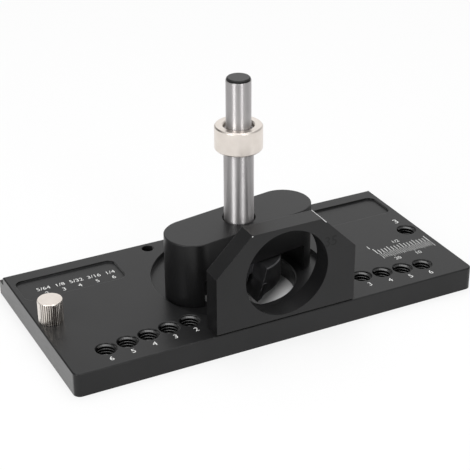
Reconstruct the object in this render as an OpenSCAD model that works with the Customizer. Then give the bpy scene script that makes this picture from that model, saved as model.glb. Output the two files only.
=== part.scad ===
// Boring jig for the round cups of concealed hinges. A spindle with a cutter head turns
// and slides in the ball bearings of a guide bridge, over the bore of a flat base plate.
// The block at the front has a round port that shows the cutter, and a knurled knob
// screws into the plate's holes to stop the jig against a door edge.
// Sizes are in millimetres. +Z is up, X runs along the plate and the port faces -Y.
// The origin is the middle of the plate's underside.

/* [Base plate] */
// Length of the plate
plate_l = 175; // [170:1:200]
// Depth of the top face, front to back
plate_w = 81; // [80:1:96]
// Thickness of the plate
plate_h = 9.8; // [9:0.1:12]
// Width of the low ledge behind the top face
ledge_w = 5; // [2:0.5:8]
// Step from the top face down to the ledge
ledge_drop = 3.8; // [2:0.2:6]
// Radius of the two upright front corners
front_corner_r = 2.75; // [1.5:0.25:4]
// Chamfer along the edges of the top face
edge_chamfer = 0.4; // [0.2:0.1:1]
// Depth of the round seat that is sunk into the top face
seat_depth = 2.2; // [1:0.2:3]
// Room left between the ends of the bridge and the wall of the seat
seat_margin = 2.25; // [1:0.25:3]
// Chamfer at the top of the cutter's bore
bore_edge = 0.5; // [0.2:0.1:1]
// Length of each label pocket
pocket_l = 43.1; // [30:0.1:44]
// Width of each label pocket
pocket_w = 16.6; // [12:0.1:18]
// Depth of each label pocket
pocket_depth = 0.8; // [0.4:0.1:1.5]
// Corner radius of each label pocket
pocket_r = 3.5; // [1:0.5:6]
// Rim between a pocket and the end of the plate
pocket_end_rim = 2.4; // [1.5:0.1:4]
// Rim between a pocket and the back of the top face
pocket_back_rim = 6.3; // [4:0.1:8]

/* [Stop holes] */
// Smallest offset from the door edge to the cup
first_offset = 2; // [1:0.5:3]
// Step in offset from one hole to the next
offset_step = 1; // [0.5:0.5:1.5]
// Number of offset holes on each side
offset_count = 5; // [2:1:5]
// Distance from the middle of the plate to the first offset hole
first_hole_x = 34; // [32:0.5:40]
// Spacing of the offset holes along the plate
hole_pitch = 9.1; // [8.8:0.1:10]
// Distance from the end of the plate to the middle of its end hole
end_rim = 6.1; // [5.5:0.1:8]
// Nominal diameter of the stop thread
thread_d = 8; // [6:0.5:8]
// Pitch of the stop thread
thread_pitch = 1.25; // [1:0.25:1.5]
// Diameter of the two plain holes at the back
fixing_d = 5.1; // [3:0.1:6]
// Distance of each plain hole from the middle of the plate
fixing_x = 25; // [20:0.5:30]
// Distance of each plain hole from the back of the top face
fixing_back = 4.6; // [4:0.1:6]

/* [Port block] */
// Width of the block
block_w = 60; // [54:1:64]
// Height of the block above the plate
block_h = 39.5; // [39:0.5:46]
// Thickness of the block
block_t = 8.5; // [8:0.5:10]
// Chamfer of the two upper corners
block_chamfer = 15; // [4:0.5:16]
// Chamfer under the front and the back face of the block
foot_edge = 0.7; // [0.2:0.1:1.5]
// Diameter of the viewing port
port_d = 35.5; // [26:0.5:37]
// Height of the port's centre above the plate
port_rise = 19.9; // [19.5:0.1:21]

/* [Guide bridge] */
// Length of the bridge over its round ends
bridge_l = 68; // [66:0.5:72]
// Width of the bridge
bridge_w = 23; // [22:0.5:28]
// Turn of the bridge on its seat, seen from above
bridge_turn = 9.2; // [0:0.1:15]
// Length of each leg, from the cavity to the round end
leg_l = 6.7; // [6:0.1:9]
// Chamfer along the bridge's top edge
bridge_edge = 0.3; // [0.1:0.1:1]
// Wall over the upper bearing
top_wall = 2.4; // [1.5:0.1:4]
// Gap between the spindle and the mouth of the bridge
mouth_gap = 0.55; // [0.3:0.05:1]
// Width of each ball bearing
bearing_w = 4; // [3.5:0.5:6]
// Depth of each ball bearing from its bore to its rim
bearing_depth = 3; // [2.8:0.1:3.4]
// Height of the spacers between the two bearings
spacer_h = 3.3; // [2:0.1:8]

/* [Spindle] */
// Diameter that runs in the bearings
spindle_d = 12; // [11:0.5:13]
// Length from the head up to the shoulder
guide_l = 55.5; // [50:0.5:64]
// Diameter of the drive shank
shank_d = 10; // [8:0.5:10]
// Length of the drive shank
shank_l = 20; // [14:0.5:30]
// Diameter of the end cap
cap_d = 9.4; // [8:0.1:9.8]
// Height of the end cap
cap_h = 1.1; // [0.8:0.1:3]
// Height of the collar's rest place above the bridge
collar_gap = 30.2; // [5:0.1:32]
// Diameter of the collar
collar_d = 19.1; // [17:0.1:24]
// Height of the collar
collar_h = 10; // [8:0.5:12]

/* [Cutter head] */
// Diameter of the cut
cutter_d = 35; // [32:1:38]
// Room between the swing of the head and its bore
head_margin = 5.6; // [3:0.1:6]
// Height of the point's tip above the table
tip_clear = 0.3; // [0.2:0.1:1]
// Length of the point below the cutting edges
point_reach = 4.6; // [2:0.1:6]
// Drop of the cutting edges below the head's body
edge_drop = 4.1; // [3.5:0.1:5]
// Height of the head's body
body_h = 9.6; // [8:0.1:12]
// Gap between the head and the bridge above it
head_gap = 0.7; // [0.6:0.1:2]
// Diameter of the head's hub
hub_d = 15; // [14:0.5:18]
// Lean of the cutting faces from upright
rake_angle = 20; // [10:1:24]
// Slope of the land right behind a cutting edge
relief_angle = 32; // [24:1:36]
// Thickness of each cutting blade
blade_t = 1.7; // [1.2:0.1:2.2]
// Height of each cutting blade
blade_h = 7.5; // [6:0.1:9]

/* [Stop knob] */
// Diameter of the knob
knob_d = 10.4; // [9.6:0.1:13]
// Height of the knob
knob_h = 9.3; // [7:0.1:14]

/* [Hidden] */
$fn = 96;
// How far a cut passes the face that it starts from
overrun = 1;
// Radial room between pieces that are pressed or screwed together
seat_fit = 0.02;
// Radial room between pieces that turn or slide on each other
run_fit = 0.04;

// Places along the plate's depth, from the spindle's axis
front_y = -plate_w / 2;
back_y = plate_w / 2;
block_y = front_y + block_t / 2;

// Heights, from the table up
seat_z = plate_h - seat_depth;
edge_z = tip_clear + point_reach;
body_z = edge_z + edge_drop;
head_top_z = body_z + body_h;
ceiling_z = head_top_z + head_gap;
// Wall below the circlip, and the circlip's groove
clip_skirt = 1.3;
clip_groove_h = 1.1;
lower_race_z = ceiling_z + clip_skirt + clip_groove_h;
upper_race_z = lower_race_z + bearing_w + spacer_h;
shoulder_z = upper_race_z + bearing_w;
bridge_top_z = shoulder_z + top_wall;
spindle_top_z = head_top_z + guide_l;
shank_top_z = spindle_top_z + shank_l;
collar_z = bridge_top_z + collar_gap;

// Bores that follow the pieces in them
head_bore_d = cutter_d + 2 * head_margin;
cavity_d = bridge_l - 2 * leg_l;
seat_d = bridge_l + 2 * seat_margin;
race_bore_d = spindle_d + 2 * run_fit;
race_rim_d = race_bore_d + 2 * bearing_depth;
race_pocket_d = race_rim_d + 2 * seat_fit;
mouth_d = spindle_d + 2 * mouth_gap;

// The stop thread is drawn plain at its nominal size
thread_bore_d = thread_d + 2 * run_fit;
thread_mouth_d = thread_d + thread_pitch / 2;

// Screws from below, with 90 degree heads
block_screw_d = 3;
block_screw_l = 16;
block_screw_x = 24;
bridge_screw_d = 4;
bridge_screw_l = 14;
// Depth of the screw heads below the underside
head_sink = 0.3;
// Room at the blind end of a drilled hole
drill_room = 1;
// Clearance of a screw in a hole that it passes through
pass_fit = 0.25;
bridge_screw_x = (bridge_l - leg_l) / 2;

// Ball bearings
// Share of a bearing's depth that each ring takes
race_share = 0.27;
// Share of a bearing's depth that a ball spans
ball_share = 0.64;
balls_per_race = 13;
race_ring_t = bearing_depth * race_share;
ball_d = bearing_depth * ball_share;
ball_circle_r = race_bore_d / 2 + bearing_depth / 2;
// Share of the bearing's width that the cage is tall
cage_share = 0.75;
cage_h = bearing_w * cage_share;
// Room round the cage, between the rings
cage_fit = 0.25;
// Relief over the inner ring
ring_relief = 0.4;
// Circlip
clip_t = 1;
clip_reach = 0.5;
clip_ring_w = 1.6;
clip_gap_angle = 50;
clip_ear_d = 2.2;
clip_eye_d = 1;

// Spindle
spigot_d = 8;
spigot_l = 5.5;
spindle_edge = 0.4;
cap_edge = 0.4;
cap_stem_d = 5;
cap_stem_l = 5;

// Cutter head
// How far the blades and spurs stand out from the body's rim
rim_step = 0.4;
head_edge = 0.4;
// Width of the steep land behind a cutting edge
land_w = 4.4;
// Slope of the rest of the land
heel_angle = 9.5;
// How far the cutting edges lie ahead of the centre line
edge_lead = 0.8;
// Where each land ends, past the line across the blades
trail_angle = 20;
blade_start = 2.6;
spur_angle = 12;
spur_t = 2.2;
spur_w = 3.2;
spur_drop = 0.6;
spur_h = 9;
point_d = 4;
point_tip_d = 0.4;
point_cone_h = 3;
point_shank_d = 3;
point_shank_l = 2.6;

// Collar and its screw
collar_edge = 0.5;
collar_screw_d = 5;
collar_screw_sink = 0.3;

// Knob and its stud
knob_edge = 0.5;
knob_rest_gap = 0.05;
stud_tip_z = 0.6;
stud_seat_l = 5;
stud_neck_d = 6;
stud_edge = 0.5;

// Moves a shape from the spindle's axis to the plate's frame
module on_axis() {
    translate([0, -ledge_w / 2, 0])
        children();
}

// Round bar with one chamfered top edge
module chamfered_disc(r, h, edge) {
    rotate_extrude()
        polygon([[0, 0], [r, 0], [r, h - edge], [r - edge, h], [0, h]]);
}

// Tube that stands on z = 0
module ring(outer_d, inner_d, h) {
    difference() {
        cylinder(d = outer_d, h = h);
        translate([0, 0, -overrun])
            cylinder(d = inner_d, h = h + 2 * overrun);
    }
}

// Flat-headed screw that points up from z = 0, with a hexagon socket
module flat_screw(d, l) {
    difference() {
        union() {
            cylinder(d1 = 2 * d, d2 = d, h = d / 2);
            cylinder(d = d, h = l);
        }
        translate([0, 0, -overrun])
            cylinder(d = d * 0.7, h = overrun + d * 0.4, $fn = 6);
    }
}

// Hole for a flat-headed screw, up from the underside through a plate
module flat_screw_hole(d, h) {
    translate([0, 0, -overrun])
        cylinder(d = d + 2 * pass_fit, h = h + 2 * overrun);
    translate([0, 0, head_sink])
        cylinder(d1 = 2 * d + 2 * pass_fit, d2 = 0, h = d + pass_fit);
    translate([0, 0, -overrun])
        cylinder(d = 2 * d + 2 * pass_fit, h = overrun + head_sink);
}

// Tapped hole for the knob's stud, with a countersunk mouth
module stop_hole() {
    mouth_h = (thread_mouth_d - thread_bore_d) / 2;
    translate([0, 0, -overrun])
        cylinder(d = thread_bore_d, h = plate_h + 2 * overrun);
    translate([0, 0, plate_h - mouth_h])
        cylinder(d1 = thread_bore_d, d2 = thread_mouth_d + 2 * overrun, h = mouth_h + overrun);
}

// Holes in the ends: the side of a knob there is 76.2, or 3 inches, from the spindle
end_hole_x = plate_l / 2 - end_rim;

// Holes in the rows: the side of a knob there is an offset in front of the cup's edge
function offset_hole(i) = [
    first_hole_x + i * hole_pitch,
    -(cutter_d / 2 + first_offset + i * offset_step + knob_d / 2)
];

// Plate with chamfered top edges, a low ledge behind and round front corners
module plate_blank() {
    module across() {
        rotate([90, 0, 90])
            linear_extrude(plate_l, center = true)
                polygon([
                    [front_y, 0], [back_y + ledge_w, 0],
                    [back_y + ledge_w, plate_h - ledge_drop], [back_y, plate_h - ledge_drop],
                    [back_y, plate_h - edge_chamfer], [back_y - edge_chamfer, plate_h],
                    [front_y + edge_chamfer, plate_h], [front_y, plate_h - edge_chamfer]
                ]);
    }
    module along() {
        translate([0, back_y + ledge_w + overrun, 0])
            rotate([90, 0, 0])
                linear_extrude(plate_w + ledge_w + 2 * overrun)
                    polygon([
                        [-plate_l / 2, 0], [plate_l / 2, 0],
                        [plate_l / 2, plate_h - edge_chamfer],
                        [plate_l / 2 - edge_chamfer, plate_h],
                        [edge_chamfer - plate_l / 2, plate_h],
                        [-plate_l / 2, plate_h - edge_chamfer]
                    ]);
    }
    module corner() {
        translate([plate_l / 2 - front_corner_r, front_y + front_corner_r, 0])
            difference() {
                translate([0, -front_corner_r - overrun, -overrun])
                    cube([front_corner_r + overrun, front_corner_r + overrun,
                        plate_h + 2 * overrun]);
                translate([0, 0, -2 * overrun])
                    chamfered_disc(front_corner_r, plate_h + 2 * overrun, edge_chamfer);
            }
    }
    difference() {
        intersection() {
            across();
            along();
        }
        corner();
        mirror([1, 0, 0])
            corner();
    }
}

// Outline of a label pocket, its outer back corner at the origin
module pocket_outline() {
    translate([-pocket_l + pocket_r, -pocket_w])
        square([pocket_l - 2 * pocket_r, pocket_w]);
    translate([-pocket_l, -pocket_w + pocket_r])
        square([pocket_l, pocket_w - 2 * pocket_r]);
    for (x = [pocket_r - pocket_l, -pocket_r], y = [pocket_r - pocket_w, -pocket_r])
        translate([x, y])
            circle(r = pocket_r);
}

module base_plate() {
    color([0.06, 0.06, 0.065])
        on_axis()
            difference() {
                plate_blank();
                translate([0, 0, seat_z])
                    cylinder(d = seat_d, h = seat_depth + overrun);
                translate([0, 0, -overrun])
                    cylinder(d = head_bore_d, h = plate_h + 2 * overrun);
                translate([0, 0, seat_z - bore_edge])
                    cylinder(d1 = head_bore_d, d2 = head_bore_d + 2 * (bore_edge + overrun),
                        h = bore_edge + overrun);
                for (side = [-1, 1]) {
                    scale([side, 1, 1])
                        translate([plate_l / 2 - pocket_end_rim, back_y - pocket_back_rim,
                            plate_h - pocket_depth])
                            linear_extrude(pocket_depth + overrun)
                                pocket_outline();
                    for (i = [0:offset_count - 1])
                        translate([side * offset_hole(i)[0], offset_hole(i)[1], 0])
                            stop_hole();
                    translate([side * end_hole_x, 0, 0])
                        stop_hole();
                    translate([side * fixing_x, back_y - fixing_back, -overrun])
                        cylinder(d = fixing_d, h = plate_h + 2 * overrun);
                    translate([side * block_screw_x, block_y, 0])
                        flat_screw_hole(block_screw_d, plate_h);
                    rotate(bridge_turn)
                        translate([side * bridge_screw_x, 0, 0])
                            flat_screw_hole(bridge_screw_d, plate_h);
                }
            }
}

// Block seen from the front, with its two upper corners cut off
module block_front() {
    translate([0, front_y + block_t + overrun, plate_h])
        rotate([90, 0, 0])
            linear_extrude(block_t + 2 * overrun)
                polygon([
                    [-block_w / 2, -overrun], [block_w / 2, -overrun],
                    [block_w / 2, block_h - block_chamfer],
                    [block_w / 2 - block_chamfer, block_h],
                    [block_chamfer - block_w / 2, block_h],
                    [-block_w / 2, block_h - block_chamfer]
                ]);
}

// Block seen from the side, with both lower edges chamfered
module block_side() {
    translate([0, front_y, plate_h])
        rotate([90, 0, 90])
            linear_extrude(block_w + 2 * overrun, center = true)
                polygon([
                    [foot_edge, 0], [block_t - foot_edge, 0], [block_t, foot_edge],
                    [block_t, block_h + overrun], [0, block_h + overrun], [0, foot_edge]
                ]);
}

// Upright block with chamfered upper corners and the round port
module port_block() {
    color([0.055, 0.055, 0.06])
        on_axis()
            difference() {
                intersection() {
                    block_front();
                    block_side();
                }
                translate([0, front_y + block_t + overrun, plate_h + port_rise])
                    rotate([90, 0, 0])
                        cylinder(d = port_d, h = block_t + 2 * overrun);
                for (side = [-1, 1])
                    translate([side * block_screw_x, block_y, plate_h - overrun])
                        cylinder(d = block_screw_d + 2 * seat_fit,
                            h = head_sink + block_screw_l - plate_h + drill_room + overrun);
            }
}

module block_screws() {
    color([0.2, 0.2, 0.21])
        on_axis()
            for (side = [-1, 1])
                translate([side * block_screw_x, block_y, head_sink])
                    flat_screw(block_screw_d, block_screw_l);
}

// Bar with round ends that stands on the seat
module bridge_blank() {
    bridge_h = bridge_top_z - seat_z;
    end_x = (bridge_l - bridge_w) / 2;
    for (side = [-1, 1])
        translate([side * end_x, 0, seat_z])
            chamfered_disc(bridge_w / 2, bridge_h, bridge_edge);
    translate([0, 0, seat_z])
        rotate([90, 0, 90])
            linear_extrude(2 * end_x, center = true)
                polygon([
                    [-bridge_w / 2, 0], [bridge_w / 2, 0],
                    [bridge_w / 2, bridge_h - bridge_edge],
                    [bridge_w / 2 - bridge_edge, bridge_h],
                    [bridge_edge - bridge_w / 2, bridge_h],
                    [-bridge_w / 2, bridge_h - bridge_edge]
                ]);
}

// Bridge with two legs, a cavity for the head and the bearing seats
module guide_bridge() {
    color([0.05, 0.05, 0.055])
        on_axis()
            difference() {
                rotate(bridge_turn)
                    bridge_blank();
                translate([0, 0, seat_z - overrun])
                    cylinder(d = cavity_d, h = ceiling_z - seat_z + overrun);
                translate([0, 0, ceiling_z - overrun])
                    cylinder(d = race_pocket_d, h = shoulder_z - ceiling_z + overrun);
                translate([0, 0, ceiling_z + clip_skirt])
                    cylinder(d = race_pocket_d + 2 * clip_reach, h = clip_groove_h);
                translate([0, 0, shoulder_z - overrun])
                    cylinder(d = race_rim_d - 2 * race_ring_t, h = overrun + ring_relief);
                translate([0, 0, shoulder_z])
                    cylinder(d = mouth_d, h = top_wall + overrun);
                translate([0, 0, bridge_top_z - bridge_edge])
                    cylinder(d1 = mouth_d, d2 = mouth_d + 2 * (bridge_edge + overrun),
                        h = bridge_edge + overrun);
                for (side = [-1, 1])
                    rotate(bridge_turn)
                        translate([side * bridge_screw_x, 0, seat_z - overrun])
                            cylinder(d = bridge_screw_d + 2 * seat_fit,
                                h = head_sink + bridge_screw_l - seat_z + drill_room + overrun);
            }
}

module bridge_screws() {
    color([0.2, 0.2, 0.21])
        on_axis()
            for (side = [-1, 1])
                rotate(bridge_turn)
                    translate([side * bridge_screw_x, 0, head_sink])
                        flat_screw(bridge_screw_d, bridge_screw_l);
}

// Track that the balls run in, as the ring that it takes away
module ball_track() {
    translate([0, 0, bearing_w / 2])
        rotate_extrude()
            translate([ball_circle_r, 0])
                circle(d = ball_d + 2 * run_fit);
}

module outer_races() {
    color([0.62, 0.62, 0.64])
        on_axis()
            for (z = [lower_race_z, upper_race_z])
                translate([0, 0, z])
                    difference() {
                        ring(race_rim_d, race_rim_d - 2 * race_ring_t, bearing_w);
                        ball_track();
                    }
}

module inner_races() {
    color([0.66, 0.66, 0.68])
        on_axis()
            for (z = [lower_race_z, upper_race_z])
                translate([0, 0, z])
                    difference() {
                        ring(race_bore_d + 2 * race_ring_t, race_bore_d, bearing_w);
                        ball_track();
                    }
}

module outer_spacer() {
    color([0.5, 0.5, 0.52])
        on_axis()
            translate([0, 0, lower_race_z + bearing_w])
                ring(race_rim_d, race_rim_d - 2 * race_ring_t, spacer_h);
}

module inner_spacer() {
    color([0.5, 0.5, 0.52])
        on_axis()
            translate([0, 0, lower_race_z + bearing_w])
                ring(race_bore_d + 2 * race_ring_t, race_bore_d, spacer_h);
}

module bearing_balls() {
    color([0.8, 0.8, 0.82])
        on_axis()
            for (z = [lower_race_z, upper_race_z], i = [0:balls_per_race - 1])
                rotate(i * 360 / balls_per_race)
                    translate([ball_circle_r, 0, z + bearing_w / 2])
                        sphere(d = ball_d, $fn = 24);
}

// Ring with a pocket for each ball
module bearing_cages() {
    inner_d = race_bore_d + 2 * (race_ring_t + cage_fit);
    outer_d = race_rim_d - 2 * (race_ring_t + cage_fit);
    color([0.72, 0.58, 0.3])
        on_axis()
            for (z = [lower_race_z, upper_race_z])
                translate([0, 0, z + bearing_w / 2])
                    difference() {
                        translate([0, 0, -cage_h / 2])
                            ring(outer_d, inner_d, cage_h);
                        for (i = [0:balls_per_race - 1])
                            rotate(i * 360 / balls_per_race)
                                translate([inner_d / 2 - overrun, 0, 0])
                                    rotate([0, 90, 0])
                                        cylinder(d = ball_d + 2 * run_fit,
                                            h = (outer_d - inner_d) / 2 + 2 * overrun);
                    }
}

// Open ring in the groove below the lower bearing
module bearing_circlip() {
    outer_d = race_pocket_d + 2 * clip_reach - 2 * run_fit;
    inner_d = race_pocket_d - 2 * clip_ring_w;
    ear_r = (inner_d + clip_ear_d) / 2 - clip_ear_d / 4;
    gap = clip_gap_angle / 2;
    color([0.3, 0.3, 0.32])
        on_axis()
            translate([0, 0, lower_race_z - clip_t])
                difference() {
                    union() {
                        difference() {
                            ring(outer_d, inner_d, clip_t);
                            translate([0, 0, -overrun])
                                linear_extrude(clip_t + 2 * overrun)
                                    polygon([[0, 0],
                                        outer_d * [cos(gap), sin(gap)],
                                        outer_d * [cos(gap), -sin(gap)]]);
                        }
                        for (side = [-1, 1])
                            rotate(side * gap)
                                translate([ear_r, 0, 0])
                                    cylinder(d = clip_ear_d, h = clip_t);
                    }
                    for (side = [-1, 1])
                        rotate(side * gap)
                            translate([ear_r, 0, -overrun])
                                cylinder(d = clip_eye_d, h = clip_t + 2 * overrun);
                }
}

// Turned shaft: spigot for the head, guide length, shoulder and drive shank
module spindle() {
    color([0.7, 0.69, 0.69])
        on_axis()
            difference() {
                rotate_extrude()
                    polygon([
                        [0, head_top_z - spigot_l], [spigot_d / 2, head_top_z - spigot_l],
                        [spigot_d / 2, head_top_z], [spindle_d / 2, head_top_z],
                        [spindle_d / 2, spindle_top_z - spindle_edge],
                        [spindle_d / 2 - spindle_edge, spindle_top_z],
                        [shank_d / 2, spindle_top_z], [shank_d / 2, shank_top_z], [0, shank_top_z]
                    ]);
                translate([0, 0, shank_top_z - cap_stem_l - drill_room])
                    cylinder(d = cap_stem_d + 2 * seat_fit, h = cap_stem_l + drill_room + overrun);
            }
}

// Plug in the top of the shank
module shank_cap() {
    color([0.05, 0.05, 0.055])
        on_axis()
            translate([0, 0, shank_top_z]) {
                chamfered_disc(cap_d / 2, cap_h, cap_edge);
                translate([0, 0, -cap_stem_l])
                    cylinder(d = cap_stem_d, h = cap_stem_l);
            }
}

// Side view of one land: cutting face, top, heel and the two slopes under it
module land_profile() {
    full_h = head_top_z - edge_z;
    knee = [land_w - edge_lead, land_w * tan(relief_angle)];
    heel_x = knee[0] + (edge_drop - knee[1]) / tan(heel_angle);
    polygon([
        [-edge_lead, 0], knee, [heel_x, edge_drop], [cutter_d, edge_drop],
        [cutter_d, full_h], [full_h * tan(rake_angle) - edge_lead, full_h]
    ]);
}

// Side view of one blade, flush with the cutting face and the slope under it
module blade_profile() {
    foot = blade_t / (1 - tan(relief_angle) * tan(rake_angle));
    lean = blade_h * tan(rake_angle);
    polygon([
        [-edge_lead, 0], [foot - edge_lead, foot * tan(relief_angle)],
        [lean + blade_t - edge_lead, blade_h], [lean - edge_lead, blade_h]
    ]);
}

// Side view of a blade's seat, open to the front and below
module blade_seat_profile() {
    lean = blade_h * tan(rake_angle);
    dip = overrun * tan(rake_angle);
    polygon([
        [-edge_lead - dip - overrun, -overrun], [blade_t - edge_lead - dip, -overrun],
        [lean + blade_t - edge_lead, blade_h], [lean - edge_lead - overrun, blade_h]
    ]);
}

// Stands a side view on the cutting edges' level and pulls it out to the front
module pull_to_front(start) {
    translate([0, -start, edge_z])
        rotate([90, 0, 0])
            linear_extrude(cutter_d - start)
                children();
}

// Pair of cutting blades, one on each side of the centre
module blade_pair() {
    for (turn = [0, 180])
        rotate(turn)
            intersection() {
                pull_to_front(blade_start)
                    blade_profile();
                translate([0, 0, edge_z])
                    cylinder(d = cutter_d, h = blade_h);
            }
}

// Seats of the blades in the head's body
module blade_seats() {
    for (turn = [0, 180])
        rotate(turn)
            pull_to_front(blade_start)
                blade_seat_profile();
}

// Upright bar at the rim, its lower end cut to a slope that starts at foot_z
module spur_bar(foot_z) {
    translate([cutter_d / 2 - spur_t, spur_w / 2, edge_z - spur_drop])
        rotate([90, 0, 90])
            linear_extrude(2 * spur_t)
                polygon([
                    [-spur_w, foot_z], [0, foot_z + spur_w * tan(relief_angle)],
                    [0, spur_h], [-spur_w, spur_h]
                ]);
}

// Pair of spurs near the trailing ends of the lands, each ahead of the other land's blade
module spur_pair() {
    for (turn = [0, 180])
        rotate(turn)
            intersection() {
                rotate(spur_angle)
                    spur_bar(0);
                translate([0, 0, edge_z - spur_drop])
                    cylinder(d = cutter_d, h = spur_h);
            }
}

// Seats of the spurs in the head's body, open below
module spur_seats() {
    for (turn = [0, 180])
        rotate(turn + spur_angle)
            spur_bar(-overrun);
}

// Head with two lands, open gullets between them and seats for the blades
module cutter_body() {
    rim_d = cutter_d - 2 * rim_step;
    trail = cutter_d * [cos(trail_angle), sin(trail_angle)];
    color([0.34, 0.34, 0.36])
        on_axis()
            difference() {
                union() {
                    intersection() {
                        translate([0, 0, edge_z])
                            chamfered_disc(rim_d / 2, head_top_z - edge_z, head_edge);
                        for (turn = [0, 180])
                            rotate(turn) {
                                pull_to_front(0)
                                    land_profile();
                                translate([0, 0, body_z])
                                    linear_extrude(body_h)
                                        polygon([[0, 0], [cutter_d, 0], trail]);
                            }
                    }
                    translate([0, 0, body_z])
                        cylinder(d = hub_d, h = body_h);
                }
                blade_seats();
                spur_seats();
                translate([0, 0, edge_z - overrun])
                    cylinder(d = point_d + 2 * seat_fit, h = edge_drop + overrun);
                translate([0, 0, head_top_z - spigot_l - seat_fit])
                    cylinder(d = spigot_d + 2 * seat_fit, h = spigot_l + overrun);
                translate([0, 0, body_z - overrun])
                    cylinder(d = point_shank_d + 2 * seat_fit,
                        h = point_shank_l + overrun + seat_fit);
            }
}

module cutting_blades() {
    color([0.55, 0.55, 0.56])
        on_axis()
            blade_pair();
}

module scoring_spurs() {
    color([0.55, 0.55, 0.56])
        on_axis()
            spur_pair();
}

// Point that marks the middle of the cup and stands on the table
module centre_point() {
    color([0.6, 0.6, 0.62])
        on_axis() {
            rotate_extrude()
                polygon([
                    [0, tip_clear], [point_tip_d / 2, tip_clear],
                    [point_d / 2, tip_clear + point_cone_h], [point_d / 2, body_z],
                    [point_shank_d / 2, body_z], [point_shank_d / 2, body_z + point_shank_l],
                    [0, body_z + point_shank_l]
                ]);
        }
}

// Ring that sets the depth, with a tapped hole at the back
module stop_collar() {
    r = collar_d / 2;
    bore_r = spindle_d / 2 + run_fit;
    color([0.85, 0.82, 0.76])
        on_axis()
            translate([0, 0, collar_z])
                difference() {
                    rotate_extrude()
                        polygon([
                            [bore_r + collar_edge, 0], [r - collar_edge, 0], [r, collar_edge],
                            [r, collar_h - collar_edge], [r - collar_edge, collar_h],
                            [bore_r + collar_edge, collar_h], [bore_r, collar_h - collar_edge],
                            [bore_r, collar_edge]
                        ]);
                    translate([0, 0, collar_h / 2])
                        rotate([-90, 0, 0])
                            cylinder(d = collar_screw_d + 2 * seat_fit, h = collar_d);
                }
}

// Headless screw that clamps the collar
module collar_screw() {
    start = spindle_d / 2 + run_fit;
    l = collar_d / 2 - collar_screw_sink - start;
    color([0.2, 0.2, 0.21])
        on_axis()
            translate([0, start, collar_z + collar_h / 2])
                rotate([-90, 0, 0])
                    difference() {
                        cylinder(d = collar_screw_d, h = l);
                        translate([0, 0, l / 3])
                            cylinder(d = collar_screw_d / 2, h = l, $fn = 6);
                    }
}

// Knob in the left end hole, with a blind seat for its stud
module stop_knob() {
    knob_z = plate_h + knob_rest_gap;
    color([0.83, 0.8, 0.74])
        on_axis()
            translate([-end_hole_x, 0, knob_z])
                difference() {
                    rotate_extrude()
                        polygon([
                            [0, 0], [knob_d / 2 - knob_edge, 0], [knob_d / 2, knob_edge],
                            [knob_d / 2, knob_h - knob_edge], [knob_d / 2 - knob_edge, knob_h],
                            [0, knob_h]
                        ]);
                    translate([0, 0, -overrun])
                        cylinder(d = stud_neck_d + 2 * run_fit,
                            h = stud_seat_l + overrun + run_fit);
                }
}

// Threaded stud of the knob, drawn plain, with a neck that the knob sits on
module knob_stud() {
    r = thread_d / 2;
    neck_z = plate_h - stud_edge;
    top_z = plate_h + knob_rest_gap + stud_seat_l;
    color([0.75, 0.73, 0.68])
        on_axis()
            translate([-end_hole_x, 0, 0])
                rotate_extrude()
                    polygon([
                        [0, stud_tip_z], [r - stud_edge, stud_tip_z], [r, stud_tip_z + stud_edge],
                        [r, neck_z], [stud_neck_d / 2, neck_z], [stud_neck_d / 2, top_z],
                        [0, top_z]
                    ]);
}

base_plate();
port_block();
block_screws();
guide_bridge();
bridge_screws();
outer_races();
outer_spacer();
bearing_circlip();
inner_races();
inner_spacer();
bearing_balls();
bearing_cages();
spindle();
shank_cap();
cutter_body();
cutting_blades();
scoring_spurs();
centre_point();
stop_collar();
collar_screw();
stop_knob();
knob_stud();
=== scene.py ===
"""Looks for the hinge boring jig: black anodised plate, port block and bridge, steel spindle,
satin nickel collar and knob, and a studio at the photograph's angle. Metres, +Z up."""
import math

import bpy
from mathutils import Matrix, Vector


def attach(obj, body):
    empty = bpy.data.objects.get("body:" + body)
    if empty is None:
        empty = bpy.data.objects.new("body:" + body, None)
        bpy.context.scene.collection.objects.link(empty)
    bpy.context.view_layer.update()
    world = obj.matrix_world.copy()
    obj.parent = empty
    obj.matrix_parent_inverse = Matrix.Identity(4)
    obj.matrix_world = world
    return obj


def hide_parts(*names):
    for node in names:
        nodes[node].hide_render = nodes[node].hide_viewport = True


MM = 0.001
INCH = 25.4

# sizes of the frame's pieces that the looks are fitted to, in mm in the plate's frame
AXIS_Y = -2.5                    # spindle axis, which stands at x = 0
FRONT_Y = -43.0                  # front face of the plate and of the port block
PLATE_TOP = 9.8
POCKET_FLOOR = 9.0
BLOCK_TOP = 49.3
BLOCK_DEPTH = 8.5
CHAMFER_X = 15.0                 # where the block's top meets its chamfers
PORT_R, PORT_Z = 17.75, 29.7     # the block's viewing port and the height of its axis
CUP_R = 17.5                     # the 35 mm cup that the jig bores
KNOB_R = 5.2                     # the solid knob, which sets how far out the stop holes are
KNOB_Z = (9.85, 19.15)
OFFSETS = (2, 3, 4, 5, 6)        # stop holes: from the cup's rim to the board's edge
FIRST_HOLE_X, HOLE_PITCH = 34.0, 9.1
END_HOLE_X = 81.4
THREAD_R = 4.04                  # wall of a tapped hole in the frame
THREAD_CORE_R = 3.35
THREAD_PITCH = 1.25
THREAD_Z = (0.3, 9.5)            # inside the plate's 9.8 mm

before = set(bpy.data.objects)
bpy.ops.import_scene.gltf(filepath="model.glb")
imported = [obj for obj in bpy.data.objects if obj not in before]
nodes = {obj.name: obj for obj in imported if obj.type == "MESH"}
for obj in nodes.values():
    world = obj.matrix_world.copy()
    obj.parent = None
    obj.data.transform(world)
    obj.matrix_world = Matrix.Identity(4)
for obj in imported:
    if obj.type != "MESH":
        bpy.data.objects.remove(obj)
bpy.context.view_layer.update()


# ---------------------------------------------------------------- node helpers
def grey(level):
    return (level, level, level)


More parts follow.
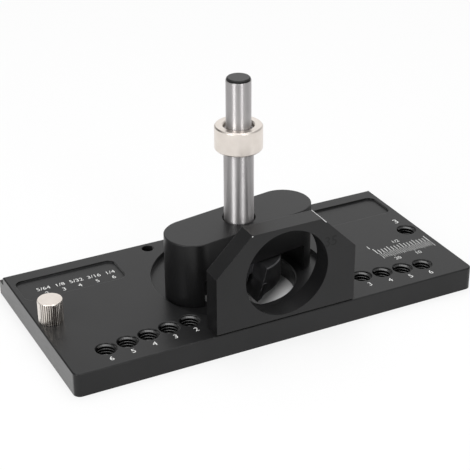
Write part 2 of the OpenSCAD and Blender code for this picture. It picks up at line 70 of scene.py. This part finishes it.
def feed(tree, node, inputs):
    """Gives inputs, by name or number, a value or the output of another node."""
    for key, value in inputs.items():
        if isinstance(value, bpy.types.NodeSocket):
            tree.links.new(value, node.inputs[key])
        else:
            node.inputs[key].default_value = value


def add(tree, kind, inputs=None, **settings):
    """New shader node with its settings and inputs."""
    node = tree.nodes.new("ShaderNode" + kind)
    for key, value in settings.items():
        setattr(node, key, value)
    feed(tree, node, inputs or {})
    return node


def empty_tree(owner, output):
    """Node tree of a material or world, with nothing in it but its output."""
    owner.use_nodes = True
    tree = owner.node_tree
    tree.nodes.clear()
    return tree, add(tree, output)


def new_material(name):
    mat = bpy.data.materials.new(name)
    tree, out = empty_tree(mat, "OutputMaterial")
    shader = add(tree, "BsdfPrincipled")
    feed(tree, out, {"Surface": shader.outputs["BSDF"]})
    return mat, tree, shader


def calculate(tree, operation, *values):
    """Number from one or two others."""
    return add(tree, "Math", dict(enumerate(values)), operation=operation).outputs[0]


def measure(tree, operation, a, b):
    """Number from two vectors, such as their distance."""
    return add(tree, "VectorMath", {0: a, 1: b}, operation=operation).outputs["Value"]


def spread(tree, value, span=(0, 1), onto=(0, 1), **settings):
    """Maps a span of values onto another one, and holds what lies outside at its ends."""
    node = add(tree, "MapRange", {"Value": value, "From Min": span[0], "From Max": span[1],
                                  "To Min": onto[0], "To Max": onto[1]}, **settings)
    return node.outputs["Result"]


def object_place(tree):
    return add(tree, "TexCoord").outputs["Object"]


def coords(tree, scale=(1, 1, 1)):
    """Object coordinates in millimetres, scaled along each axis."""
    mapping = add(tree, "Mapping", {"Vector": object_place(tree),
                                    "Scale": [s / MM for s in scale]})
    return mapping.outputs["Vector"]


def from_axis(tree, across, point):
    """Distance from a straight axis through a point. Across is 1 along the two directions
    that count and 0 along the axis."""
    flat = add(tree, "VectorMath", {0: object_place(tree), 1: across}, operation="MULTIPLY")
    return measure(tree, "DISTANCE", flat.outputs["Vector"], [c * MM for c in point])


def facing(tree, axis):
    """How far the surface faces along one of its object's axes, from -1 to 1."""
    normal = add(tree, "TexCoord").outputs["Normal"]
    return add(tree, "SeparateXYZ", {0: normal}).outputs[axis]


def noise(tree, vector, scale, detail=3.0, roughness=0.5):
    node = add(tree, "TexNoise", {"Vector": vector, "Scale": scale, "Detail": detail,
                                  "Roughness": roughness})
    return node.outputs["Fac"]


def ramp(tree, value, stops):
    """Colour ramp through (position, colour) stops."""
    node = add(tree, "ValToRGB", {"Fac": value})
    elements = node.color_ramp.elements
    while len(elements) < len(stops):
        elements.new(0.5)
    for element, (position, colour) in zip(elements, stops):
        element.position = position
        element.color = (*colour, 1)
    return node.outputs["Color"]


def mottled(tree, value, low, high):
    """Two colours that a noise runs between, over the middle of its values."""
    return ramp(tree, value, [(0.3, low), (0.7, high)])


def mix_colours(tree, share, low, high):
    """Low where the share is 0, high where it is 1."""
    low_input, high_input, colour_output = 6, 7, 2     # a Mix node's sockets for colours
    node = add(tree, "Mix", {0: share, low_input: low, high_input: high}, data_type="RGBA")
    return node.outputs[colour_output]


def mix_shaders(tree, share, low, high):
    """Node that is the shader node low where the share is 0, and high where it is 1."""
    return add(tree, "MixShader", {"Fac": share, 1: low.outputs[0], 2: high.outputs[0]})


def bump(tree, height, depth_mm, strength, edge_mm=0):
    """Normal with a fine relief. An edge radius rounds the sharp edges, so that they catch
    a thin line of light."""
    node = add(tree, "Bump", {"Height": height, "Distance": depth_mm * MM,
                              "Strength": strength})
    if edge_mm:
        edges = add(tree, "Bevel", {"Radius": edge_mm * MM}, samples=6)
        feed(tree, node, {"Normal": edges.outputs["Normal"]})
    return node.outputs["Normal"]


def ray_kinds(tree):
    """Which rays come from the camera, and which by way of metal or glass."""
    path = add(tree, "LightPath").outputs
    mirrored = calculate(tree, "MAXIMUM", path["Is Glossy Ray"], path["Is Transmission Ray"])
    return path["Is Camera Ray"], mirrored


# ---------------------------------------------------------------- materials
def anodised(name, low, high, ior, roughness=0.34, ends=None, bore=None):
    """Bead-blasted aluminium with black anodising: fine grain, faint cloudiness, soft edges.
    Ends is a lighter grey painted on the faces that look along X, with saw marks in it: a
    painted reflection of the bright surround they face. Bore is the radius of a bore along Y and
    the height of its axis, in mm, and its wall is duller than the rest."""
    mat, tree, shader = new_material(name)
    mm = coords(tree)
    grain = noise(tree, mm, scale=5.0, detail=4.0, roughness=0.6)
    cloud = noise(tree, mm, scale=0.06)
    colour = mottled(tree, cloud, low, high)
    # the ends are painted a lighter grey, a painted reflection of the bright surround they face
    if ends:
        end = spread(tree, calculate(tree, "ABSOLUTE", facing(tree, "X")), span=(0.93, 0.99))
        saw_marks = noise(tree, coords(tree, (1, 0.15, 3.0)), scale=1.5)
        painted_end_sheen = mottled(tree, saw_marks, grey(0.8 * ends), grey(1.2 * ends))
        colour = mix_colours(tree, end, colour, painted_end_sheen)
    if bore:
        radius, height = bore
        fade, dull, usual = 0.2, 0.22, 0.5
        from_bore = from_axis(tree, across=(1, 0, 1), point=(0, 0, height))
        shine = spread(tree, from_bore, (radius * MM, (radius + fade) * MM), (dull, usual))
        feed(tree, shader, {"Specular IOR Level": shine})
    feed(tree, shader, {
        "Base Color": colour, "IOR": ior,
        "Roughness": spread(tree, cloud, onto=(roughness - 0.04, roughness + 0.04)),
        "Normal": bump(tree, grain, depth_mm=0.03, strength=0.35, edge_mm=0.35)})
    return mat


def turned_steel(name, low, high, roughness):
    """Ground shaft: fine rings round the axis draw its highlights out into upright bands."""
    mat, tree, shader = new_material(name)
    rings = noise(tree, coords(tree, (0.02, 0.02, 9.0)), scale=1.0, detail=4.0, roughness=0.7)
    tone = noise(tree, coords(tree, (0.2, 0.2, 0.15)), scale=0.6, detail=2.0)
    around = add(tree, "Tangent", direction_type="RADIAL", axis="Z")
    feed(tree, shader, {
        "Base Color": mottled(tree, tone, low, high), "Metallic": 1.0,
        "Anisotropic": 0.95, "Anisotropic Rotation": 0.25, "Tangent": around.outputs["Tangent"],
        "Roughness": spread(tree, rings, onto=(roughness - 0.05, roughness + 0.07)),
        "Normal": bump(tree, rings, depth_mm=0.01, strength=0.25, edge_mm=0.25)})
    return mat


def plated(name, low, high, roughness, grain_mm=0.1, depth_mm=0.01, edge_mm=0.25,
           grooves=None):
    """Plated or ground metal with an even fine grain. Grooves round an upright axis get a
    painted shade,
    darkest at their root: their x, their y and the radii where they are dark and bright, in mm."""
    mat, tree, shader = new_material(name)
    mm = coords(tree)
    grain = noise(tree, mm, scale=1.0 / grain_mm, roughness=0.6)
    tone = noise(tree, mm, scale=0.25, detail=2.0)
    colour = mottled(tree, tone, low, high)
    if grooves:
        x, y, root, crest = grooves
        # painted shade in the grooves, darkest at their root and fading towards the crest
        painted_groove_shade = (0.12, 0.11, 0.10, 1)
        radius = from_axis(tree, across=(1, 1, 0), point=(x, y, 0))
        height = spread(tree, radius, span=(root * MM, crest * MM))
        colour = mix_colours(tree, height, painted_groove_shade, colour)
    feed(tree, shader, {
        "Base Color": colour, "Metallic": 1.0,
        "Roughness": spread(tree, grain, onto=(roughness - 0.06, roughness + 0.06)),
        "Normal": bump(tree, grain, depth_mm, strength=0.3, edge_mm=edge_mm)})
    return mat


def coated(name, low, high, roughness, specular=0.5, side_specular=None):
    """Matt plastic or paint with a faint mottle. The faces round about can be duller than
    the top."""
    mat, tree, shader = new_material(name)
    mottle = noise(tree, coords(tree), scale=3.0)
    if side_specular is not None:
        specular = spread(tree, facing(tree, "Z"), (0.5, 1), (side_specular, specular))
    feed(tree, shader, {
        "Base Color": mottled(tree, mottle, low, high), "Specular IOR Level": specular,
        "Roughness": spread(tree, mottle, onto=(roughness - 0.05, roughness + 0.05)),
        "Normal": bump(tree, mottle, depth_mm=0.02, strength=0.2)})
    return mat


# the plate's ends get a painted reflection: a lighter grey on the faces along X
plate_black = anodised("black anodised plate", (0.008, 0.008, 0.0083), (0.011, 0.011, 0.0113),
                       ior=1.355, ends=0.095)
block_black = anodised("black anodised block", (0.007, 0.007, 0.0073), (0.009, 0.009, 0.0093),
                       ior=1.37, bore=(PORT_R, PORT_Z))
bridge_black = anodised("black anodised bridge", (0.0065, 0.0065, 0.0068),
                        (0.0085, 0.0085, 0.0088), ior=1.39)
spindle_steel = turned_steel("turned steel", (0.50, 0.485, 0.485), (0.56, 0.545, 0.545),
                             roughness=0.42)
# its knurl's grooves get a painted shade
knurl_nickel = plated("knurled nickel", (0.82, 0.77, 0.72), (0.88, 0.83, 0.78),
                      roughness=0.24, grain_mm=0.12, edge_mm=0,
                      grooves=(-END_HOLE_X, AXIS_Y, 4.5, 4.85))
nickel = plated("satin nickel", (0.735, 0.675, 0.62), (0.795, 0.735, 0.68),
                roughness=0.29, grain_mm=0.12)
dark_steel = plated("dark steel", (0.10, 0.10, 0.105), (0.15, 0.15, 0.155),
                    roughness=0.40, grain_mm=0.2, depth_mm=0.02)
cutting_steel = plated("cutting steel", (0.13, 0.13, 0.135), (0.18, 0.18, 0.185),
                       roughness=0.30)
bearing_steel = plated("bearing steel", (0.50, 0.50, 0.52), (0.58, 0.58, 0.60),
                       roughness=0.22)
# bright metal for a painted highlight along two of the block's edges
painted_glint_metal = plated("painted glint metal", grey(0.62), grey(0.70), roughness=0.35, edge_mm=0)
cut_thread = plated("cut thread", grey(0.060), grey(0.075), roughness=0.22, edge_mm=0)
cage_brass = plated("cage brass", (0.52, 0.38, 0.16), (0.60, 0.45, 0.21),
                    roughness=0.35, grain_mm=0.15)
cap_black = coated("black cap", grey(0.010), grey(0.014), roughness=0.45,
                   specular=0.6, side_specular=0.1)
engraving_white = coated("engraving white", (0.62, 0.62, 0.61), (0.70, 0.70, 0.69),
                         roughness=0.7)
engraving_dark = coated("engraving dark", grey(0.010), grey(0.014), roughness=0.6,
                        specular=0.2)

FINISH = {
    "base_plate": plate_black, "port_block": block_black, "guide_bridge": bridge_black,
    "block_screws": dark_steel, "bridge_screws": dark_steel, "outer_races": bearing_steel,
    "outer_spacer": bearing_steel, "bearing_circlip": dark_steel, "inner_races": bearing_steel,
    "inner_spacer": bearing_steel, "bearing_balls": bearing_steel, "bearing_cages": cage_brass,
    "spindle": spindle_steel, "shank_cap": cap_black, "cutter_body": dark_steel,
    "cutting_blades": cutting_steel, "scoring_spurs": cutting_steel,
    "centre_point": cutting_steel, "stop_collar": nickel, "collar_screw": dark_steel,
    "stop_knob": nickel, "knob_stud": nickel,
}
for name, mat in FINISH.items():
    slots = nodes[name].data.materials
    slots.clear()
    slots.append(mat)


# ---------------------------------------------------------------- mesh helpers
def new_object(name, data):
    obj = bpy.data.objects.new(name, data)
    bpy.context.scene.collection.objects.link(obj)
    return obj


def mesh_object(name, verts, faces, mat):
    """Object from corners in mm and faces."""
    mesh = bpy.data.meshes.new(name)
    mesh.from_pydata([[c * MM for c in v] for v in verts], [], faces)
    mesh.update()
    mesh.materials.append(mat)
    return new_object(name, mesh)


def stop_hole(offset, side):
    """Middle of the stop hole for an offset, right (1) or left (-1) of the spindle. A knob
    there has its edge that many millimetres from the cup."""
    x = FIRST_HOLE_X + HOLE_PITCH * (offset - OFFSETS[0])
    return side * x, AXIS_Y - (CUP_R + offset + KNOB_R)


class Marks:
    """Flat engraved marks gathered into one mesh, laid a hair above their surface."""

    CAP_HEIGHT = 0.69           # of the font at size 1

    def __init__(self):
        self.verts, self.faces = [], []

    def text(self, words, place, height, turn=Matrix.Identity(3)):
        """Numbers of a given height, with the middle of their foot at place, in mm."""
        curve = bpy.data.curves.new("mark", "FONT")
        curve.body = words
        curve.size = 1.0
        curve.resolution_u = 3
        curve.align_x = "CENTER"
        probe = new_object("mark", curve)
        bpy.context.view_layer.update()
        mesh = bpy.data.meshes.new_from_object(probe)
        scale = height / self.CAP_HEIGHT
        start = len(self.verts)
        for v in mesh.vertices:
            self.verts.append(tuple(turn @ (v.co * scale) + Vector(place)))
        for p in mesh.polygons:
            self.faces.append([start + i for i in p.vertices])
        bpy.data.objects.remove(probe)
        bpy.data.meshes.remove(mesh)
        bpy.data.curves.remove(curve)

    def bar(self, x, y0, y1, width, z):
        """Upright tick of a scale."""
        start = len(self.verts)
        half = width / 2
        for px, py in ((x - half, y0), (x + half, y0), (x + half, y1), (x - half, y1)):
            self.verts.append((px, py, z))
        self.faces.append([start, start + 1, start + 2, start + 3])

    def ticks(self, zero, step, count, lengths, width):
        """Ticks that run to the left from zero. Lengths says, longest first, at which counts
        a tick has a length and what it is: up the plate, or down where negative."""
        x, y, z = zero
        for i in range(count):
            length = next(length for every, length in lengths if i % every == 0)
            self.bar(x - i * step, min(y, y + length), max(y, y + length), width, z)

    def build(self, name, mat, body):
        obj = mesh_object(name, self.verts, self.faces, mat)
        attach(obj, body)


# ---------------------------------------------------------------- engraved numbers
HAIR = 0.02
TOP = PLATE_TOP + HAIR
RULE_ZERO = (84.4, -15.3, TOP)
# the pocket's rows: y and height of the numbers in inches, and of those in mm
POCKET_ROWS = ((22.1, 2.3), (17.8, 2.4))
# its columns: inches and their x, mm and their x
POCKET_COLUMNS = (("5/64", -75.4, "2", -75.2), ("1/8", -68.35, "3", -68.0),
                  ("5/32", -61.3, "4", -61.2), ("3/16", -53.6, "5", -53.6),
                  ("1/4", -46.5, "6", -46.5))
# the ruler's numbers: how far left of its zero and up the plate from it, and their height
RULE_NUMBERS = (("10", 9.8, -7.7, 2.1), ("20", 19.9, -7.8, 2.1), ("1", 26.4, 5.0, 2.5),
                ("1/2", 13.1, 5.1, 2.0))


def plate_numbers():
    """Numbers of the stop holes, the pocket's two rows and the ruler with its ticks."""
    marks = Marks()
    left, below = 0.6, 8.4               # from the middle of a hole to its number's foot
    for offset in OFFSETS:
        for side in (-1, 1):
            x, y = stop_hole(offset, side)
            marks.text(str(offset), (x - left, y - below, TOP), height=2.6)
    (inch_y, inch_height), (mm_y, mm_height) = POCKET_ROWS
    floor = POCKET_FLOOR + HAIR
    for inches, inch_x, offset, mm_x in POCKET_COLUMNS:
        marks.text(inches, (inch_x, inch_y, floor), inch_height)
        marks.text(offset, (mm_x, mm_y, floor), mm_height)
    right, behind = 0.1, 7.0
    marks.text("3", (END_HOLE_X + right, AXIS_Y + behind, TOP), height=3.4)
    rule_x, rule_y, rule_z = RULE_ZERO
    for words, along, above, height in RULE_NUMBERS:
        marks.text(words, (rule_x - along, rule_y + above, rule_z), height)
    marks.ticks(RULE_ZERO, step=1, count=26, width=0.2,
                lengths=((10, -5.0), (5, -4.6), (1, -4.1)))
    marks.ticks(RULE_ZERO, step=INCH / 16, count=17, width=0.34,
                lengths=((16, 4.4), (4, 3.8), (1, 3.0)))
    marks.build("engraved_numbers", engraving_white, "base")


def port_number():
    """The cup's size beside the port, on the block's upright front."""
    marks = Marks()
    upright = Matrix(((1, 0, 0), (0, 0, -1), (0, 1, 0)))
    marks.text(str(round(2 * CUP_R)), (18.8, FRONT_Y - HAIR, 36.9), height=4.1, turn=upright)
    marks.build("engraved_port_number", engraving_dark, "base")


# ---------------------------------------------------------------- painted edge glints, threads and knurl
def rubbed_edges():
    """Thin bright metal lines at two of the block's upper corners, a painted highlight where the
    edges catch the light.
    """
    skin, width = 0.012, 0.28
    run, tail = 1.7, 0.2                 # length down the right chamfer, and breadth at its end
    glint_half, inner = 0.3, 0.35             # half breadths of the mark on the left corner
    back = FRONT_Y + BLOCK_DEPTH
    face_y, face_z = FRONT_Y - skin, BLOCK_TOP + skin
    on_top = [(CHAMFER_X - width, FRONT_Y, face_z), (CHAMFER_X, FRONT_Y, face_z),
              (CHAMFER_X, back, face_z), (CHAMFER_X - width, back, face_z)]
    right = [(CHAMFER_X, BLOCK_TOP), (CHAMFER_X + run, BLOCK_TOP - run),
             (CHAMFER_X + run - tail, BLOCK_TOP - run - tail),
             (CHAMFER_X - width, BLOCK_TOP - tail / 2)]
    left = [(-CHAMFER_X, BLOCK_TOP), (-CHAMFER_X - glint_half, BLOCK_TOP - glint_half),
            (-CHAMFER_X, BLOCK_TOP - 2 * glint_half), (inner - CHAMFER_X, BLOCK_TOP - glint_half)]
    verts = on_top + [(x, face_y, z) for x, z in right + left]
    obj = mesh_object("rubbed_edges", verts, [(0, 1, 2, 3), (4, 7, 6, 5), (8, 9, 10, 11)],
                      painted_glint_metal)
    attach(obj, "base")


def thread_ridge(verts, faces, x, y):
    """Adds a helical ridge on the wall of the hole at x, y, a blunt V that points inwards."""
    steps = 28                           # a turn
    foot_r = THREAD_R + 0.05             # sunk into the wall
    middle, foot, crest = 0.60, 0.58, 0.10     # height of the V's middle, and half breadths
    section = [(foot_r, middle - foot), (THREAD_CORE_R, middle - crest),
               (THREAD_CORE_R, middle + crest), (foot_r, middle + foot)]
    low, high = THREAD_Z
    count = int(((high - low) / THREAD_PITCH - 1) * steps)
    start, ring = len(verts), len(section)
    for i in range(count + 1):
        angle = 2 * math.pi * i / steps
        z = low + THREAD_PITCH * i / steps
        for r, up in section:
            verts.append((x + r * math.cos(angle), y + r * math.sin(angle), z + up))
    for i in range(count):
        a = start + ring * i
        for k in range(ring - 1):
            faces.append((a + k, a + k + ring, a + k + ring + 1, a + k + 1))


def stop_threads():
    """Threads of the stop holes, which are plain bores in the frame."""
    verts, faces = [], []
    for offset in OFFSETS:
        for side in (-1, 1):
            thread_ridge(verts, faces, *stop_hole(offset, side))
    thread_ridge(verts, faces, END_HOLE_X, AXIS_Y)
    threads = mesh_object("stop_threads", verts, faces, cut_thread)
    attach(threads, "base")


def knurled_knob():
    """Knob with fine straight ridges and a plain chamfered rim, over the frame's own knob."""
    ridges, steps = 36, 6                # steps round the knob for each ridge
    count = ridges * steps
    root, crest = 4.45, 4.95
    flank = 1.4                          # steepness: above 1, a flank leaves a flat crest
    low, high = KNOB_Z
    # height of each ring and its radius, where None is the knurled outline
    rings = [(low, None), (high - 0.5, None), (high - 0.25, 4.88), (high, 4.75)]
    verts, faces = [], []
    for z, plain in rings:
        for i in range(count):
            wave = abs(((i / steps) % 1) * 2 - 1)
            radius = plain if plain else root + (crest - root) * min(1, flank * wave)
            angle = 2 * math.pi * i / count
            verts.append((-END_HOLE_X + radius * math.cos(angle),
                          AXIS_Y + radius * math.sin(angle), z))
    for j in range(len(rings) - 1):
        below, above = j * count, (j + 1) * count
        for i in range(count):
            k = (i + 1) % count
            faces.append((below + i, below + k, above + k, above + i))
    faces.append(tuple(range(count))[::-1])
    faces.append(tuple(range((len(rings) - 1) * count, len(rings) * count)))
    obj = mesh_object("knurled_knob", verts, faces, knurl_nickel)
    obj.data.materials.append(nickel)
    for face in obj.data.polygons:       # plain nickel where a face looks up or down
        face.material_index = 1 if abs(face.normal.z) > 0.3 else 0
    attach(obj, "stop_knob_head")
    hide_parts("stop_knob")


plate_numbers()
port_number()
rubbed_edges()
stop_threads()
knurled_knob()


# ---------------------------------------------------------------- studio
def studio_floor():
    """Pale floor that carries the object's shadow, and glows for the camera and for mirrored
    rays. In the plate's bore it has a painted shade instead: dark grey that lifts to pale
    towards the front right, with hardly any glow, and that little painted glow rises with it."""
    size, drop = 8, 0.05 * MM            # in metres, as all here
    # disc of painted shade round the spindle, and the span over which it lifts to pale
    painted_shade_r, lift_from, lift_to = 35.0 * MM, 13.5 * MM, 19.5 * MM
    front_right = (0.6, -0.8, 0)
    # the painted shade in the bore, and the floor's own pale colour
    dark, pale = grey(0.28), grey(0.80)
    glow_share = 0.75                    # the rest is lit by the lamps and takes the shadow
    painted_bore_glow = 0.22                    # painted glow in the bore, as a part of that share

    bpy.ops.mesh.primitive_plane_add(size=size, location=(0, 0, -drop))
    floor = bpy.context.object
    floor.name = "studio_floor"
    mat = bpy.data.materials.new("studio floor")
    tree, out = empty_tree(mat, "OutputMaterial")
    from_spindle = from_axis(tree, across=(1, 1, 0), point=(0, AXIS_Y, 0))
    outside = calculate(tree, "GREATER_THAN", from_spindle, painted_shade_r)
    lift = spread(tree, measure(tree, "DOT_PRODUCT", object_place(tree), front_right),
                  span=(lift_from, lift_to))
    # painted shade in the bore that lifts to the front right; the floor's own pale outside it
    shade = ramp(tree, calculate(tree, "MAXIMUM", outside, lift), [(0, dark), (1, pale)])
    faint = calculate(tree, "MULTIPLY", lift, painted_bore_glow)
    share = spread(tree, calculate(tree, "MAXIMUM", outside, faint), onto=(0, glow_share))
    seen = calculate(tree, "MULTIPLY", share, calculate(tree, "MAXIMUM", *ray_kinds(tree)))
    mix = mix_shaders(tree, seen, add(tree, "BsdfDiffuse", {"Color": shade}),
                      add(tree, "Emission", {"Color": (1, 1, 1, 1), "Strength": 1.0}))
    feed(tree, out, {"Surface": mix.outputs[0]})
    floor.data.materials.append(mat)


def studio_world():
    """Surround with bright panels and darker stretches between them, and a plain pale one
    where the camera looks."""
    # how bright the surround is, by compass bearing: degrees from +X towards +Y, and level
    bearings = [(-180, 0.62), (-156, 1.0), (-138, 0.75), (-117, 0.40), (-101, 0.62), (-84, 1.0),
                (-62, 0.60), (-27, 0.30), (8, 0.55), (40, 1.0), (80, 1.0), (104, 0.45),
                (124, 0.08), (150, 0.20), (180, 0.62)]
    overhead = (0.9, 0.9, 0.9, 1)
    overhead_span = (0.55, 0.9)          # upward part of a direction, where it takes over
    backdrop = (0.8, 0.8, 0.8, 1)
    light_level, mirror_level = 0.85, 1.0

    world = bpy.data.worlds.new("studio")
    bpy.context.scene.world = world
    tree, out = empty_tree(world, "OutputWorld")
    direction = add(tree, "SeparateXYZ", {0: add(tree, "TexCoord").outputs["Generated"]}).outputs
    bearing = calculate(tree, "ARCTAN2", direction["Y"], direction["X"])
    turn = spread(tree, bearing, span=(-math.pi, math.pi))
    panels = ramp(tree, turn, [((b + 180) / 360, grey(level)) for b, level in bearings])
    high = spread(tree, direction["Z"], overhead_span, interpolation_type="SMOOTHSTEP")
    surround = mix_colours(tree, high, panels, overhead)
    camera, mirrored = ray_kinds(tree)
    lit = mix_shaders(tree, mirrored,
                      add(tree, "Background", {"Color": surround, "Strength": light_level}),
                      add(tree, "Background", {"Color": surround, "Strength": mirror_level}))
    seen = add(tree, "Background", {"Color": backdrop, "Strength": 1.0})
    feed(tree, out, {"Surface": mix_shaders(tree, camera, lit, seen).outputs[0]})


def softbox(name, place, target, size, power):
    """Rectangular lamp that points at its target. Sizes and places in metres."""
    lamp = bpy.data.lights.new(name, "AREA")
    lamp.shape = "RECTANGLE"
    lamp.size, lamp.size_y = size
    lamp.energy = power
    obj = new_object(name, lamp)
    obj.location = place
    obj.rotation_euler = (Vector(target) - Vector(place)).to_track_quat("-Z", "Y").to_euler()


studio_floor()
studio_world()
softbox("left_box", (-0.88, -0.40, 0.45), (0, 0, 0.05), size=(0.36, 0.8), power=4.6)
softbox("right_box", (0.07, -0.97, 0.45), (0, 0, 0.05), size=(0.22, 0.8), power=2.6)
softbox("overhead", (0.1, 0.1, 1.1), (0, 0, 0), size=(0.9, 0.9), power=6)


# ---------------------------------------------------------------- camera
def photo_camera():
    """Camera at the photograph's place, worked out from the ruler, the rows of holes and the
    plate's corners."""
    place = (-223.205, -439.882, 287.378)                # mm
    right_of_y, down, roll = (math.radians(a) for a in (26.8516, 27.93, -0.269))
    sensor_mm, picture_px, focal_px = 36, 470, 1376.58

    forward = Vector((math.sin(right_of_y) * math.cos(down),
                      math.cos(right_of_y) * math.cos(down), -math.sin(down)))
    side = Vector((math.cos(right_of_y), -math.sin(right_of_y), 0))
    above = side.cross(forward)
    right = side * math.cos(roll) + above * math.sin(roll)
    up = above * math.cos(roll) - side * math.sin(roll)
    data = bpy.data.cameras.new("photo_camera")
    data.sensor_width = sensor_mm
    data.lens = sensor_mm * focal_px / picture_px
    data.clip_start, data.clip_end = 0.05, 20
    cam = new_object("photo_camera", data)
    turn = Matrix((right, up, -forward)).transposed().to_4x4()
    cam.matrix_world = Matrix.Translation(Vector(place) * MM) @ turn
    bpy.context.scene.camera = cam


photo_camera()
bpy.context.scene.view_settings.view_transform = "Standard"
